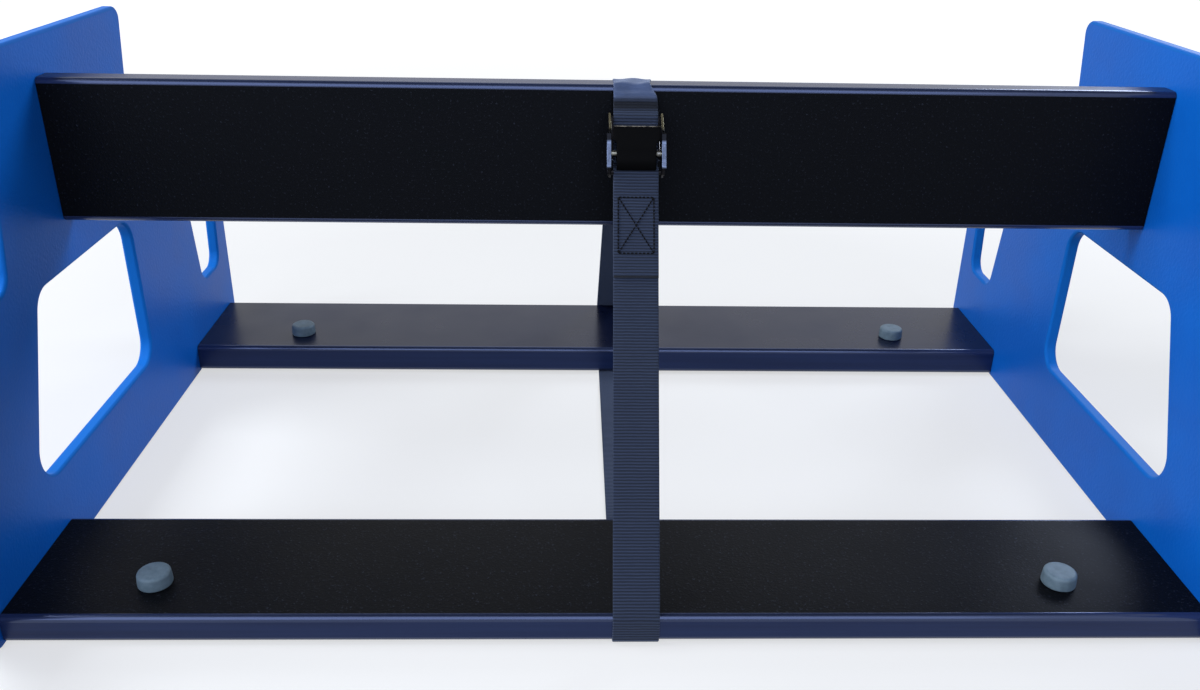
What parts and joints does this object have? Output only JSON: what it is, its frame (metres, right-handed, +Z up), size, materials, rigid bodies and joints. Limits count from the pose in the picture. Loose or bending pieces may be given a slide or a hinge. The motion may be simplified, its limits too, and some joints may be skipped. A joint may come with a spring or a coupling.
{
  "type": "ski rack stand",
  "caption": "Ski rack stand: blue sheet end panels with ski slots, joined by black boards, with a webbing strap and a sprung cam buckle over the middle.",
  "frame": {"origin": "centre of the footprint, on the ground", "axes": "+X along the skis, +Y to the rear, away from the buckle side, +Z up"},
  "size_m": [1.0124, 0.7256, 0.44],
  "materials": {
    "blue_sheet": "royal blue polyethylene sheet with an orange-peel texture",
    "black_board": "black polyethylene board, finely grained",
    "screw_steel": "plain stainless steel",
    "bumper_rubber": "light grey smooth rubber",
    "webbing": "dark woven webbing with fine ribs across",
    "thread": "black sewing thread",
    "buckle_steel": "dark plated steel with bright worn edges",
    "pin_steel": "plain steel",
    "spring_steel": "drawn spring wire",
    "lever_black": "black coated steel"
  },
  "bodies": {
    "rack": {"end_panel_left": "blue_sheet", "end_panel_right": "blue_sheet", "upper_board": "black_board", "front_lower_board": "black_board", "rear_lower_board": "black_board", "screw_upper_left_1": "screw_steel", "screw_upper_left_2": "screw_steel", "screw_upper_left_3": "screw_steel", "screw_upper_right_1": "screw_steel", "screw_upper_right_2": "screw_steel", "screw_upper_right_3": "screw_steel", "screw_front_left_1": "screw_steel", "screw_front_left_2": "screw_steel", "screw_front_left_3": "screw_steel", "screw_front_right_1": "screw_steel", "screw_front_right_2": "screw_steel", "screw_front_right_3": "screw_steel", "screw_rear_left_1": "screw_steel", "screw_rear_left_2": "screw_steel", "screw_rear_left_3": "screw_steel", "screw_rear_right_1": "screw_steel", "screw_rear_right_2": "screw_steel", "screw_rear_right_3": "screw_steel", "bumper_front_left": "bumper_rubber", "bumper_front_right": "bumper_rubber", "bumper_rear_left": "bumper_rubber", "bumper_rear_right": "bumper_rubber", "strap_webbing": "webbing", "strap_stitching": "thread", "buckle_frame": "buckle_steel", "buckle_pivot_pin": "pin_steel", "buckle_anchor_bar": "pin_steel", "buckle_spring": "spring_steel"},
    "cam_lever": {"buckle_cam_lever": "lever_black"}
  },
  "joints": [
    {"name": "cam_lever_hinge", "type": "hinge", "parent": "rack", "child": "cam_lever", "pos_m": [0.018, -0.08935, 0.35699], "axis": [-1, 0, 0], "range_deg": [0, 30], "stiffness_Nm_per_rad": 0.15, "springref_deg": -17.19, "deforming": ["buckle_spring"]}
  ]
}
